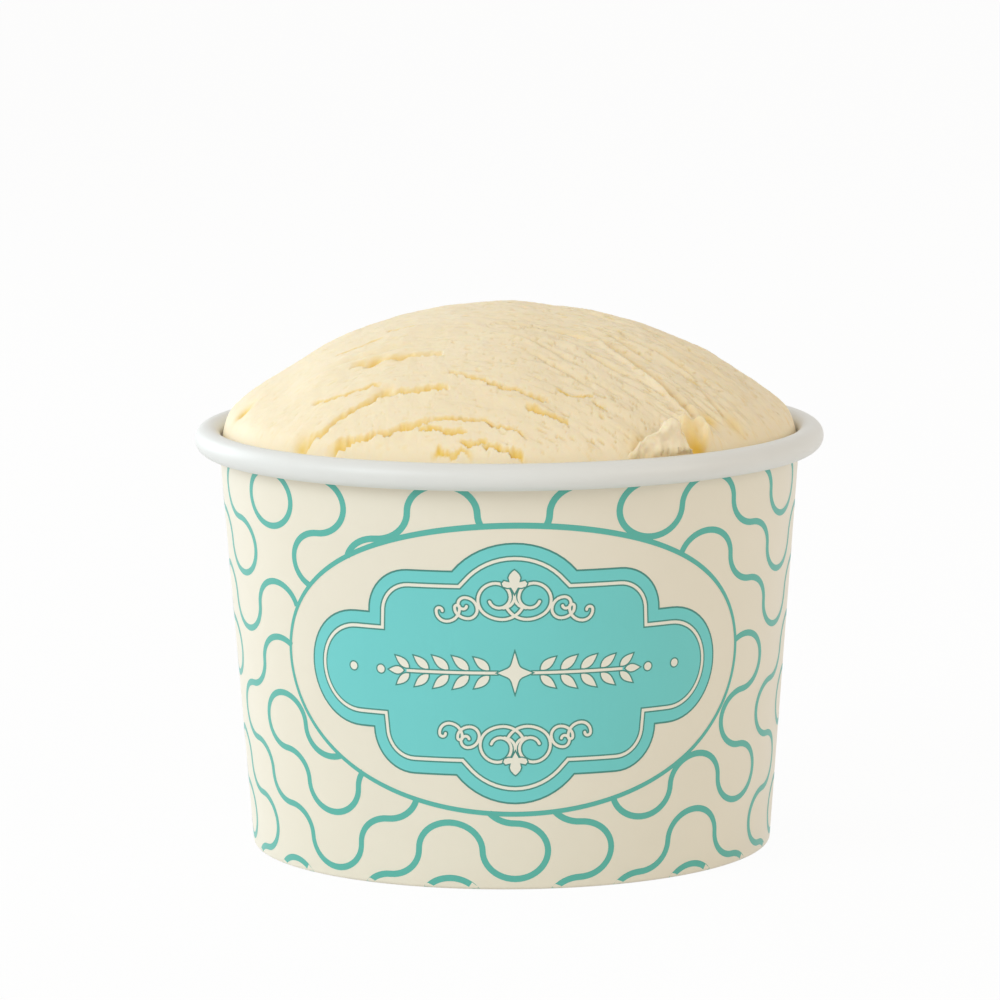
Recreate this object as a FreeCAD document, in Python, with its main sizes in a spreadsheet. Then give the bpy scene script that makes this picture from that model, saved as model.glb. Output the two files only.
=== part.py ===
import FreeCAD, Part
import math
import os
import Sketcher

# A squat paper tub of ice cream, in millimetres.
# The origin is the centre of the ring that the tub stands on, +Z is up and -Y is the front.
# The tub is two pieces of board: a cone-shaped wall with a rolled rim, and a cupped base
# whose skirt is crimped inside the wall's folded hem. The ice cream fills it and mounds over.

SIZES = [
    ("rim_radius", 48.5, "outermost radius of the rolled rim"),
    ("tub_height", 65.24, "from the ring it stands on to the top of the rim"),
    ("base_radius", 40.16, "outermost radius of the hem"),
    ("roll_radius", 2.04, "outer radius of the rim's roll"),
    ("board", 0.42, "thickness of the wall's and the base's board"),
    ("curl_gap", 0.08, "clearance between the roll's tucked turn and the wall"),
    ("tail_radius", 0.88, "radius of the last quarter turn inside the roll"),
    ("hem_corner", 0.55, "outer radius of the hem's two pressed corners"),
    ("crimp_gap", 0.06, "clearance on each side of the skirt inside the hem"),
    ("recess", 5.0, "height of the base's underside over the standing ring"),
    ("tuck_gap", 0.5, "from the hem's tucked edge to the base's underside"),
    ("base_corner", 0.28, "inner radius of the base's turned edge"),
    ("lap_step", 0.3, "how far the lap seam stands out of the wall"),
    ("lap_width", 8.0, "width of the lap seam, up the back"),
    ("lap_end_gap", 0.35, "from the roll's underside down to the lap's upper end"),
    ("fill_gap", 0.15, "clearance between the ice cream and the wall"),
    ("mound_rise", 20.35, "height of the mound's top over the roll's centre"),
    ("mound_overreach", 1.714, "from the mound's edge out to the foot that the dome's curve would have"),
    ("mound_power", 0.79, "fullness of the dome: 0.5 is an ellipse, 1 a parabola"),
    ("shoulder_lean", 20.0, "degrees by which the mound's steep edge leans in, over the wall"),
    ("headroom", 6.0, "height over the mound from which its skin cuts the fill"),
    ("fill_line", 0.3, "height of the ice cream's edge on the wall, over the roll's centre"),
]

# The relief and the flake are placed on a mound whose edge has this radius, and spread with it.
RELIEF_RADIUS = 44.286

# Drag lines run across the mound from left to right and swing towards the front. A drag line's
# number is how far in front of the middle it crosses x = 0. Each lap is a ledge on one of them,
# where a layer ends behind the one in front of it: its two ends across the mound, the line's
# number at each end, how deep it dips and the width of the slope that leads down to it.
# A lap fades out towards its ends: the lower the fade, the more suddenly.
LAP_FADE = 0.7
DRAG_SLOPE = 0.3
DRAG_SWING = 0.004
LAPS = [
    (-33.0, -19.0, 37.8, 34.8, 1.4, 3.0),
    (-21.0, -9.0, 34.4, 34.7, 1.3, 3.0),
    (-27.6, -11.5, 40.6, 41.6, 1.2, 2.8),
    (-12.0, 2.8, 40.6, 41.0, 1.0, 2.2),
    (-9.0, 6.0, 31.0, 34.0, 1.2, 2.6),
    (2.4, 8.8, 36.2, 35.7, 0.9, 2.2),
    (-29.5, -19.0, 30.0, 31.8, 0.9, 2.6),
    (-24.0, -10.0, 24.5, 25.6, 1.2, 3.0),
    (-4.2, 5.2, 44.0, 43.2, 0.7, 2.0),
    (13.0, 29.0, 11.2, 18.6, 1.3, 3.4),
    (17.2, 28.6, 4.3, 6.0, 0.8, 3.0),
    (5.5, 20.8, 11.8, 12.0, 0.6, 2.6),
]

# Broad swells that follow the drag lines: distance from one to the next, height and start.
SWELLS = [
    (9.5, 0.3, 2.0),
    (5.7, 0.15, 0.5),
]

# Hollows torn or pressed into the mound: place across and towards the back, radius and depth.
HOLLOWS = [
    (27.2, -32.8, 2.2, 2.0),
    (-40.4, -9.0, 2.0, 0.7),
    (20.6, -39.5, 2.4, 0.7),
    (33.4, -25.0, 2.2, 0.9),
]

# Folds pushed up beside the flake: both ends, each across and towards the back, height
# and half width.
FOLDS = [
    (28.0, -25.6, 32.6, -32.4, 1.8, 1.2),
    (24.6, -28.4, 28.0, -29.4, 0.8, 1.0),
]

# The torn flake stands by the wall, front right. Each of its sections has its place across
# and towards the back, its top's height over the roll's centre, its half thickness
# and how far its top leans out.
FLAKE = [
    (16.6, -38.6, 0.5, 0.4, 0.0),
    (19.4, -37.6, 5.3, 0.8, 0.5),
    (22.4, -35.6, 7.8, 1.1, 0.8),
    (24.7, -34.0, 7.6, 1.0, 0.6),
    (26.4, -32.8, 4.4, 0.6, 0.2),
    (27.6, -31.6, -1.5, 0.4, 0.0),
]
# How far the flake is rooted in the mound, below its top or below the height of its root.
FLAKE_DEPTH = 5.0
FLAKE_ROOT = 1.0

# The net of control points of the mound's skin: cells from wall to wall, and how far it
# runs past the mound's edge.
NET_CELLS = 76
NET_MARGIN = 1.5

doc = FreeCAD.newDocument("ice_cream_tub")
sheet = doc.addObject("Spreadsheet::Sheet", "Sizes")
for row, (name, value, note) in enumerate(SIZES, start=1):
    sheet.set("A%d" % row, name)
    sheet.set("B%d" % row, "%g" % value)
    sheet.set("C%d" % row, note)
    sheet.setAlias("B%d" % row, name)
doc.recompute()


def size(name):
    return float(sheet.get(name))


def point(radius, height):
    return FreeCAD.Vector(radius, height, 0)


def arc(centre, radius, start, end):
    circle = Part.Circle(centre, FreeCAD.Vector(0, 0, 1), radius)
    return Part.ArcOfCircle(circle, math.radians(start), math.radians(end))


def on_circle(centre, radius, angle):
    turn = math.radians(angle)
    return centre + FreeCAD.Vector(math.cos(turn), math.sin(turn), 0) * radius


def new_body(name, plane_role):
    """A body with one sketch on one of its own origin planes."""
    body = doc.addObject("PartDesign::Body", name)
    body.Label = name
    sketch = body.newObject("Sketcher::SketchObject", name + "_profile")
    attach(body, sketch, plane_role)
    return body, sketch


def attach(body, sketch, plane_role):
    plane = [f for f in body.Origin.OriginFeatures if f.Role == plane_role][0]
    sketch.AttachmentSupport = [(plane, "")]
    sketch.MapMode = "FlatFace"


def tie(sketch, name, expression, *constraint):
    """Adds one dimension to a sketch and binds it to the sheet."""
    index = sketch.addConstraint(Sketcher.Constraint(*constraint))
    sketch.renameConstraint(index, name)
    sketch.setExpression("Constraints." + name, expression)


def revolve(body, sketch, angle, name):
    turn = body.newObject("PartDesign::Revolution", name)
    turn.Profile = sketch
    turn.ReferenceAxis = (sketch, ["V_Axis"])
    if isinstance(angle, str):
        turn.setExpression("Angle", angle)
        turn.Midplane = True
    else:
        turn.Angle = angle
    body.Tip = turn


# ---- first guesses for the sketches, from the same sizes as their constraints ----

BOARD = size("board")
ROLL = size("roll_radius")
CORNER = size("hem_corner")
COIL = ROLL - 2 * BOARD - size("curl_gap")
HEM_WIDTH = 3 * BOARD + 2 * size("crimp_gap")
TUCK_LENGTH = size("recess") - CORNER - size("tuck_gap")
roll_centre = point(size("rim_radius") - ROLL, size("tub_height") - ROLL)
hem_centre = point(size("base_radius") - CORNER, CORNER)
between = roll_centre - hem_centre
CENTRE_LINE_LEAN = math.atan2(between.x, between.y)
LEAN = math.degrees(CENTRE_LINE_LEAN - math.asin((CORNER + ROLL - BOARD) / between.Length))
up_wall = point(math.sin(math.radians(LEAN)), math.cos(math.radians(LEAN)))
out_of_wall = point(up_wall.y, -up_wall.x)


def beside_wall(out, height):
    """A point at a height on the line along the wall that passes this far outside the hem's centre."""
    from_hem = hem_centre + out_of_wall * out
    return from_hem + up_wall * ((height - from_hem.y) / up_wall.y)


# ---- the wall: one strip of board, hem to curl, turned about the axis ----

CHAIN = ["tuck", "hem_inner", "hem_flat", "hem_outer", "wall", "roll", "coil", "tail"]


def board_face(sketch, inset):
    """One face of the strip: the printed one, or with the board's thickness as inset the other."""
    corner = CORNER - inset
    roll = ROLL - BOARD + inset
    hem_inner_centre = hem_centre - point(HEM_WIDTH - 2 * CORNER, 0)
    tuck_foot = on_circle(hem_inner_centre, corner, 180 - LEAN)
    wall_foot = on_circle(hem_centre, corner, -LEAN)
    coil_centre = roll_centre - point(0, size("curl_gap") + BOARD)
    tail_centre = coil_centre - point(COIL - size("tail_radius"), 0)
    shapes = [
        Part.LineSegment(tuck_foot + up_wall * TUCK_LENGTH, tuck_foot),
        arc(hem_inner_centre, corner, 180 - LEAN, 270),
        Part.LineSegment(hem_inner_centre - point(0, corner), hem_centre - point(0, corner)),
        arc(hem_centre, corner, 270, 360 - LEAN),
        Part.LineSegment(wall_foot, on_circle(roll_centre, roll, 180 - LEAN)),
        arc(roll_centre, roll, -90, 180 - LEAN),
        arc(coil_centre, COIL + inset, 180, 270),
        arc(tail_centre, size("tail_radius") + inset, 90, 180),
    ]
    return dict(zip(CHAIN, sketch.addGeometry(shapes, False)))


START, END, CENTRE = 1, 2, 3


def join_face(sketch, face):
    """Makes one face of the strip run on smoothly, corner to corner and turn to turn."""
    for before, after in zip(CHAIN[:4], CHAIN[1:5]):
        sketch.addConstraint(Sketcher.Constraint("Tangent", face[before], END, face[after], START))
    sketch.addConstraint(Sketcher.Constraint("Tangent", face["wall"], END, face["roll"], END))
    sketch.addConstraint(Sketcher.Constraint("Coincident", face["roll"], START, face["coil"], END))
    sketch.addConstraint(Sketcher.Constraint("Coincident", face["coil"], START, face["tail"], END))
    sketch.addConstraint(Sketcher.Constraint("Vertical", face["roll"], CENTRE, face["roll"], START))
    sketch.addConstraint(Sketcher.Constraint("Horizontal", face["coil"], CENTRE, face["coil"], START))
    sketch.addConstraint(Sketcher.Constraint("Vertical", face["tail"], CENTRE, face["tail"], START))


wall, strip = new_body("wall", "XZ_Plane")
printed = board_face(strip, 0)
inside = board_face(strip, BOARD)
join_face(strip, printed)
join_face(strip, inside)
for name in ("hem_inner", "hem_outer", "roll", "coil", "tail"):
    strip.addConstraint(Sketcher.Constraint("Coincident", printed[name], CENTRE, inside[name], CENTRE))
for kind, piece, beside in (
        ("Horizontal", "hem_inner", "hem_outer"),
        ("Vertical", "roll", "coil"),
        ("Horizontal", "coil", "tail")):
    strip.addConstraint(Sketcher.Constraint(kind, printed[piece], CENTRE, printed[beside], CENTRE))
strip.addConstraint(Sketcher.Constraint("Equal", printed["hem_inner"], printed["hem_outer"]))
strip.addConstraint(Sketcher.Constraint("Equal", inside["hem_inner"], inside["hem_outer"]))
strip.addConstraint(Sketcher.Constraint("Parallel", printed["tuck"], printed["wall"]))
strip.addConstraint(Sketcher.Constraint("Parallel", inside["tuck"], printed["tuck"]))
tie(strip, "hem_corner", "Sizes.hem_corner", "Radius", printed["hem_outer"], CORNER)
tie(strip, "hem_corner_inside", "Sizes.hem_corner - Sizes.board",
    "Radius", inside["hem_outer"], CORNER - BOARD)
tie(strip, "roll_outside", "Sizes.roll_radius", "Radius", inside["roll"], ROLL)
tie(strip, "roll_printed", "Sizes.roll_radius - Sizes.board", "Radius", printed["roll"], ROLL - BOARD)
tie(strip, "coil_radius", "Sizes.roll_radius - 2 * Sizes.board - Sizes.curl_gap",
    "Radius", printed["coil"], COIL)
tie(strip, "tail_radius", "Sizes.tail_radius", "Radius", printed["tail"], size("tail_radius"))
tie(strip, "hem_x", "Sizes.base_radius - Sizes.hem_corner",
    "DistanceX", -1, START, printed["hem_outer"], CENTRE, hem_centre.x)
tie(strip, "hem_z", "Sizes.hem_corner",
    "DistanceY", -1, START, printed["hem_outer"], CENTRE, hem_centre.y)
tie(strip, "roll_x", "Sizes.rim_radius - Sizes.roll_radius",
    "DistanceX", -1, START, printed["roll"], CENTRE, roll_centre.x)
tie(strip, "roll_z", "Sizes.tub_height - Sizes.roll_radius",
    "DistanceY", -1, START, printed["roll"], CENTRE, roll_centre.y)
tie(strip, "hem_flat", "3 * Sizes.board + 2 * Sizes.crimp_gap - 2 * Sizes.hem_corner",
    "DistanceX", printed["hem_flat"], START, printed["hem_flat"], END, HEM_WIDTH - 2 * CORNER)
tie(strip, "tuck_length", "Sizes.recess - Sizes.hem_corner - Sizes.tuck_gap",
    "Distance", printed["tuck"], TUCK_LENGTH)
tuck_end, tail_end = strip.addGeometry([
    Part.LineSegment(strip.getPoint(printed["tuck"], START), strip.getPoint(inside["tuck"], START)),
    Part.LineSegment(strip.getPoint(printed["tail"], START), strip.getPoint(inside["tail"], START)),
], False)
for cap, piece in ((tuck_end, "tuck"), (tail_end, "tail")):
    strip.addConstraint(Sketcher.Constraint("Coincident", cap, START, printed[piece], START))
    strip.addConstraint(Sketcher.Constraint("Coincident", cap, END, inside[piece], START))
strip.addConstraint(Sketcher.Constraint("Perpendicular", tuck_end, printed["tuck"]))
lean = strip.addConstraint(
    Sketcher.Constraint("Angle", printed["wall"], START, -2, START, math.radians(LEAN)))
strip.setDriving(lean, False)
strip.renameConstraint(lean, "lean")
revolve(wall, strip, 360, "ring")
doc.recompute()

# ---- the lap seam: the wall's two edges overlap up the back, outside the printed face ----

LAP_FOOT = CORNER + BOARD
LAP_TOP = size("tub_height") - 2 * ROLL - size("lap_end_gap")
LAP_INSIDE = CORNER - BOARD / 2
LAP_OUTSIDE = CORNER + size("lap_step")
lap_profile = wall.newObject("Sketcher::SketchObject", "lap_profile")
attach(wall, lap_profile, "YZ_Plane")
corners = [beside_wall(LAP_INSIDE, LAP_FOOT), beside_wall(LAP_OUTSIDE, LAP_FOOT),
           beside_wall(LAP_OUTSIDE, LAP_TOP), beside_wall(LAP_INSIDE, LAP_TOP)]
foot, outer, top, inner = lap_profile.addGeometry(
    [Part.LineSegment(corners[i], corners[(i + 1) % 4]) for i in range(4)], False)
for before, after in ((foot, outer), (outer, top), (top, inner), (inner, foot)):
    lap_profile.addConstraint(Sketcher.Constraint("Coincident", before, END, after, START))
lap_profile.addConstraint(Sketcher.Constraint("Horizontal", foot))
lap_profile.addConstraint(Sketcher.Constraint("Horizontal", top))
lap_profile.addConstraint(Sketcher.Constraint("Parallel", inner, outer))
tie(lap_profile, "lean", "wall_profile.Constraints.lean",
    "Angle", outer, START, -2, START, math.radians(LEAN))
tie(lap_profile, "outside", "Sizes.base_radius - Sizes.hem_corner"
    " + (Sizes.hem_corner + Sizes.lap_step) / cos(wall_profile.Constraints.lean)"
    " + Sizes.board * tan(wall_profile.Constraints.lean)",
    "DistanceX", -1, START, outer, START, corners[1].x)
tie(lap_profile, "depth", "(Sizes.lap_step + Sizes.board / 2) / cos(wall_profile.Constraints.lean)",
    "DistanceX", foot, START, foot, END, corners[1].x - corners[0].x)
tie(lap_profile, "foot_height", "Sizes.hem_corner + Sizes.board",
    "DistanceY", -1, START, foot, START, LAP_FOOT)
tie(lap_profile, "top_height", "Sizes.tub_height - 2 * Sizes.roll_radius - Sizes.lap_end_gap",
    "DistanceY", -1, START, top, START, LAP_TOP)
revolve(wall, lap_profile, "Sizes.lap_width / Sizes.base_radius * 1 rad", "lap")
doc.recompute()

# ---- the base: a disc of board whose edge turns down into the hem ----

base, cup = new_body("base", "XZ_Plane")
SKIRT_OUT = CORNER - BOARD - size("crimp_gap")
DISC = size("recess")
BEND = size("base_corner")
SKIRT_END = CORNER + size("crimp_gap")
bend_centre = beside_wall(SKIRT_OUT - BOARD - BEND, DISC - BEND)
shapes = [
    Part.LineSegment(point(0, DISC + BOARD), point(bend_centre.x, DISC + BOARD)),
    arc(bend_centre, BEND + BOARD, -LEAN, 90),
    Part.LineSegment(on_circle(bend_centre, BEND + BOARD, -LEAN), beside_wall(SKIRT_OUT, SKIRT_END)),
    Part.LineSegment(beside_wall(SKIRT_OUT, SKIRT_END), beside_wall(SKIRT_OUT - BOARD, SKIRT_END)),
    Part.LineSegment(beside_wall(SKIRT_OUT - BOARD, SKIRT_END), on_circle(bend_centre, BEND, -LEAN)),
    arc(bend_centre, BEND, -LEAN, 90),
    Part.LineSegment(point(bend_centre.x, DISC), point(0, DISC)),
    Part.LineSegment(point(0, DISC), point(0, DISC + BOARD)),
]
floor, bend, skirt, skirt_end, skirt_back, bend_back, underside, middle = cup.addGeometry(shapes, False)
for kind, before, its_end, after, its_start in (
        ("Tangent", floor, END, bend, END),
        ("Tangent", bend, START, skirt, START),
        ("Coincident", skirt, END, skirt_end, START),
        ("Coincident", skirt_end, END, skirt_back, START),
        ("Tangent", skirt_back, END, bend_back, START),
        ("Tangent", bend_back, END, underside, START),
        ("Coincident", underside, END, middle, START),
        ("Coincident", middle, END, floor, START)):
    cup.addConstraint(Sketcher.Constraint(kind, before, its_end, after, its_start))
cup.addConstraint(Sketcher.Constraint("Coincident", bend, CENTRE, bend_back, CENTRE))
cup.addConstraint(Sketcher.Constraint("Horizontal", skirt_end))
cup.addConstraint(Sketcher.Constraint("Horizontal", floor))
cup.addConstraint(Sketcher.Constraint("Horizontal", underside))
cup.addConstraint(Sketcher.Constraint("Parallel", skirt, skirt_back))
cup.addConstraint(Sketcher.Constraint("PointOnObject", middle, START, -2))
cup.addConstraint(Sketcher.Constraint("PointOnObject", middle, END, -2))
tie(cup, "lean", "wall_profile.Constraints.lean", "Angle", skirt_back, START, -2, START, math.radians(LEAN))
tie(cup, "skirt_place", "Sizes.base_radius - Sizes.hem_corner"
    " + (Sizes.hem_corner - Sizes.board - Sizes.crimp_gap) / cos(wall_profile.Constraints.lean)"
    " + Sizes.crimp_gap * tan(wall_profile.Constraints.lean)",
    "DistanceX", -1, START, skirt_end, START, beside_wall(SKIRT_OUT, SKIRT_END).x)
tie(cup, "skirt_end", "Sizes.hem_corner + Sizes.crimp_gap",
    "DistanceY", -1, START, skirt_end, START, SKIRT_END)
tie(cup, "bend", "Sizes.base_corner", "Radius", bend_back, BEND)
tie(cup, "bend_outside", "Sizes.base_corner + Sizes.board", "Radius", bend, BEND + BOARD)
tie(cup, "recess", "Sizes.recess", "DistanceY", -1, START, middle, START, DISC)
revolve(base, cup, 360, "turned")

# ---- the ice cream: what fills the tub is turned, and the mound's skin cuts it off above ----

MOUND_FROM = roll_centre.y
FILL_OUT = CORNER - BOARD - size("fill_gap")
edge = beside_wall(FILL_OUT, MOUND_FROM + size("fill_line"))
SEAT = size("recess") + BOARD
low_edge = beside_wall(FILL_OUT, SEAT)
LID = MOUND_FROM + size("mound_rise") + size("headroom")
SHOULDER_LEAN = math.radians(size("shoulder_lean"))
lid_edge = point(edge.x - (LID - edge.y) * math.tan(SHOULDER_LEAN), LID)
corners = [point(0, SEAT), low_edge, edge, lid_edge, point(0, LID)]

fill, fill_profile = new_body("fill", "XZ_Plane")
seat, side, shoulder, lid, core = fill_profile.addGeometry(
    [Part.LineSegment(corners[i], corners[(i + 1) % 5]) for i in range(5)], False)
for before, after in ((seat, side), (side, shoulder), (shoulder, lid), (lid, core), (core, seat)):
    fill_profile.addConstraint(Sketcher.Constraint("Coincident", before, END, after, START))
fill_profile.addConstraint(Sketcher.Constraint("Horizontal", seat))
fill_profile.addConstraint(Sketcher.Constraint("Horizontal", lid))
fill_profile.addConstraint(Sketcher.Constraint("PointOnObject", core, START, -2))
fill_profile.addConstraint(Sketcher.Constraint("PointOnObject", core, END, -2))
tie(fill_profile, "seat", "Sizes.recess + Sizes.board", "DistanceY", -1, START, seat, START, SEAT)
tie(fill_profile, "lean", "wall_profile.Constraints.lean",
    "Angle", side, START, -2, START, math.radians(LEAN))
tie(fill_profile, "low_edge", "Sizes.base_radius - Sizes.hem_corner"
    " + (Sizes.hem_corner - Sizes.board - Sizes.fill_gap) / cos(wall_profile.Constraints.lean)"
    " + (Sizes.recess + Sizes.board - Sizes.hem_corner) * tan(wall_profile.Constraints.lean)",
    "DistanceX", -1, START, seat, END, low_edge.x)
tie(fill_profile, "fill_height", "Sizes.tub_height - Sizes.roll_radius + Sizes.fill_line",
    "DistanceY", -1, START, side, END, edge.y)
tie(fill_profile, "shoulder_lean", "Sizes.shoulder_lean * 1 deg",
    "Angle", -2, START, shoulder, START, SHOULDER_LEAN)
tie(fill_profile, "lid_height", "Sizes.tub_height - Sizes.roll_radius + Sizes.mound_rise + Sizes.headroom",
    "DistanceY", -1, START, lid, START, LID)
revolve(fill, fill_profile, 360, "filling")


RELIEF_SPREAD = edge.x / RELIEF_RADIUS


def dome(radius):
    """The smooth dome's height at a radius; past the mound's edge it goes straight on down."""
    share = (min(radius, edge.x) / (edge.x + size("mound_overreach"))) ** 2
    height = MOUND_FROM + size("mound_rise") * (1 - share) ** size("mound_power")
    return height - max(0, radius - edge.x)


def lap_dip(across, line, lap):
    start, end, line_at_start, line_at_end, dip, slope = lap
    along = (across - start) / (end - start)
    if not 0 < along < 1:
        return 0
    ledge = line_at_start + (line_at_end - line_at_start) * along
    down = 1 - (ledge - line) / slope
    return dip * math.sin(math.pi * along) ** LAP_FADE * down ** 2 if 0 < down < 1 else 0


def fold_rise(across, back, fold):
    start_x, start_y, end_x, end_y, height, half_width = fold
    length = math.hypot(end_x - start_x, end_y - start_y)
    along = ((across - start_x) * (end_x - start_x) + (back - start_y) * (end_y - start_y)) / length
    aside = ((across - start_x) * (end_y - start_y) - (back - start_y) * (end_x - start_x)) / length
    if not 0 < along < length:
        return 0
    return height * math.sin(math.pi * along / length) * math.exp(-(aside / half_width) ** 2)


def relief(across, back):
    """How far the mound's skin stands over or under the smooth dome."""
    line = -back - DRAG_SLOPE * across - DRAG_SWING * across ** 2
    height = sum(rise * math.sin(2 * math.pi * (line - start) / pitch) for pitch, rise, start in SWELLS)
    height -= sum(lap_dip(across, line, lap) for lap in LAPS)
    height += sum(fold_rise(across, back, fold) for fold in FOLDS)
    for x, y, radius, depth in HOLLOWS:
        height -= depth * math.exp(-((across - x) ** 2 + (back - y) ** 2) / radius ** 2)
    return height


def under_skin():
    """The block under the mound's skin: a square net of control points, from wall to wall."""
    reach = edge.x + NET_MARGIN
    places = [-reach + 2 * reach * i / NET_CELLS for i in range(NET_CELLS + 1)]
    net = [[FreeCAD.Vector(x, y, dome(math.hypot(x, y)) + relief(x / RELIEF_SPREAD, y / RELIEF_SPREAD))
            for y in places] for x in places]
    inner_knots = len(places) - 4
    mults = [4] + [1] * inner_knots + [4]
    knots = list(range(inner_knots + 2))
    skin = Part.BSplineSurface()
    skin.buildFromPolesMultsKnots(net, mults, mults, knots, knots, False, False, 3, 3)
    return skin.toShape().extrude(FreeCAD.Vector(0, 0, -LID))


def flake_solid():
    loops = []
    for i, (x, y, top, half_thick, lean_out) in enumerate(FLAKE):
        before, after = FLAKE[max(i - 1, 0)], FLAKE[min(i + 1, len(FLAKE) - 1)]
        along = FreeCAD.Vector(after[0] - before[0], after[1] - before[1], 0).normalize()
        across = FreeCAD.Vector(along.y, -along.x, 0)
        place = FreeCAD.Vector(x * RELIEF_SPREAD, y * RELIEF_SPREAD, MOUND_FROM)
        tip = place + across * lean_out + FreeCAD.Vector(0, 0, top)
        foot = place + FreeCAD.Vector(0, 0, min(top, FLAKE_ROOT) - FLAKE_DEPTH)
        middle = (tip + foot) * 0.5
        loops.append(Part.Wire(Part.Ellipse(tip, middle + across * half_thick, middle).toShape()))
    return Part.makeLoft(loops, True, False)


mound = doc.addObject("Part::Feature", "mound")
mound.Shape = under_skin()
flake = doc.addObject("Part::Feature", "flake")
flake.Shape = flake_solid()
filled = doc.addObject("Part::Common", "filled")
filled.Base = fill
filled.Tool = mound
ice_cream = doc.addObject("Part::Fuse", "ice_cream")
ice_cream.Label = "ice_cream"
ice_cream.Base = filled
ice_cream.Tool = flake
doc.recompute()

# ---- every object is sound, then each piece is written ----

for thing in doc.Objects:
    if "Invalid" in thing.State or "Error" in thing.State:
        raise RuntimeError("%s did not build: %s" % (thing.Name, thing.State))
os.makedirs("parts", exist_ok=True)
for piece in (wall, base, ice_cream):
    if piece.Shape.isNull() or not piece.Shape.isValid() or len(piece.Shape.Solids) != 1:
        raise RuntimeError("%s is not one sound solid" % piece.Label)
    print("%-10s %9.1f mm3" % (piece.Label, piece.Shape.Volume))
    piece.Shape.exportStep("parts/%s.step" % piece.Label)
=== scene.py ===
import bpy
import math
from mathutils import Matrix, Vector, noise


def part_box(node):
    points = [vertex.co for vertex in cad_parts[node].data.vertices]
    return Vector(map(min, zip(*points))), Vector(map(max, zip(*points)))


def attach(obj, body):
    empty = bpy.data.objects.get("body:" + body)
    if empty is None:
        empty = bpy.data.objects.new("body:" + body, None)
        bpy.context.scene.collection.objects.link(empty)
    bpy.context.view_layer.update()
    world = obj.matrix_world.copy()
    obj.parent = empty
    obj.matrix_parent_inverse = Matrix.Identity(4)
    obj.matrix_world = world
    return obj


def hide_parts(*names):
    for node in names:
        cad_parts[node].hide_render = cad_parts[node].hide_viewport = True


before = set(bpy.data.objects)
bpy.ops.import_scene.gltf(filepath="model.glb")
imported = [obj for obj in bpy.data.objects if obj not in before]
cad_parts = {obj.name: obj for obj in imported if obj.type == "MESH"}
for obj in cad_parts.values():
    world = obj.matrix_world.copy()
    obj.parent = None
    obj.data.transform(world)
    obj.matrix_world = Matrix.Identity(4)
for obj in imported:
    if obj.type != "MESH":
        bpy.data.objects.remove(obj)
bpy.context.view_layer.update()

mm = 0.001


def clearSelection():
    if bpy.context.object and bpy.context.object.mode != "OBJECT":
        bpy.ops.object.mode_set(mode="OBJECT")
    bpy.ops.object.select_all(action="DESELECT")


def makeActive(piece):
    clearSelection()
    piece.select_set(True)
    bpy.context.view_layer.objects.active = piece


def editAll(piece):
    makeActive(piece)
    bpy.ops.object.mode_set(mode="EDIT")
    bpy.ops.mesh.select_all(action="SELECT")


def selectOpenEdge():
    bpy.ops.mesh.select_all(action="DESELECT")
    bpy.ops.mesh.select_non_manifold(extend=False, use_boundary=True, use_wire=False, use_multi_face=False,
                                     use_non_contiguous=False, use_verts=False)


def settle(piece, name):
    # origin to the frame's, so that patterns on Object coordinates stay put
    makeActive(piece)
    bpy.ops.object.transform_apply(location=True, rotation=True, scale=True)
    piece.name = name
    piece.data.name = name
    return piece


def joinAll(pieces, name):
    makeActive(pieces[0])
    for piece in pieces[1:]:
        piece.select_set(True)
    bpy.ops.object.join()
    return settle(bpy.context.object, name)


def srgb(code):
    channels = [int(code[i:i + 2], 16) / 255 for i in (1, 3, 5)]
    return [c / 12.92 if c <= 0.04045 else ((c + 0.055) / 1.055) ** 2.4 for c in channels] + [1]


def addNode(tree, kind, inputs=None, links=None, **settings):
    node = tree.nodes.new(kind)
    for key, value in settings.items():
        setattr(node, key, value)
    for key, value in (inputs or {}).items():
        node.inputs[key].default_value = value
    for key, source in (links or {}).items():
        tree.links.new(source, node.inputs[key])
    return node


def newMaterial(name):
    material = bpy.data.materials.new(name)
    material.use_nodes = True
    tree = material.node_tree
    tree.nodes.clear()
    return material, tree


def finishMaterial(tree, shader):
    addNode(tree, "ShaderNodeOutputMaterial", links={"Surface": shader})


# the tub's sizes, in mm, the same as the solids'
tub = {
    "board": 0.42,         # thickness of the board
    "roll": 2.04,          # outer radius of the rim's roll
    "curlGap": 0.08,       # between the roll's tucked turn and the wall
    "tail": 0.88,          # last quarter turn inside the roll
    "baseRadius": 40.16,   # outermost radius of the hem
    "hemCorner": 0.55,     # radius of its turn at the floor
    "crimpGap": 0.06,      # between the layers crimped at the foot
    "recess": 5.0,         # height of the base over the ring that the tub stands on
    "tuckGap": 0.5,        # between the tucked hem and the base
    "lapStep": 0.3,        # how far the seam's outer edge stands out
    "lapWidth": 8.0,
    "lapEnd": 0.35,        # the seam's outer edge stops this far under the roll
    "lapBevel": 0.08,
    "fillGap": 0.15,       # between the board and the ice cream
    "around": 192,         # faces round the tub
}
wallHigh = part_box("wall")[1]
rimRadius = wallHigh[0] / mm
tubHeight = wallHigh[2] / mm
rollCentre = Vector((rimRadius - tub["roll"], tubHeight - tub["roll"]))
hemCentre = Vector((tub["baseRadius"] - tub["hemCorner"], tub["hemCorner"]))
hemWidth = 3 * tub["board"] + 2 * tub["crimpGap"]
hemInner = hemCentre - Vector((hemWidth - 2 * tub["hemCorner"], 0))
between = rollCentre - hemCentre
lean = math.atan2(between.x, between.y) - math.asin(
    (tub["hemCorner"] + tub["roll"] - tub["board"]) / between.length)
upWall = Vector((math.sin(lean), math.cos(lean)))
outOfWall = Vector((upWall.y, -upWall.x))
halfLap = tub["lapWidth"] / tub["baseRadius"] / 2          # half of the lap seam's turn
underRoll = tubHeight - 2 * tub["roll"]                    # where the wall goes into the roll


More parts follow.
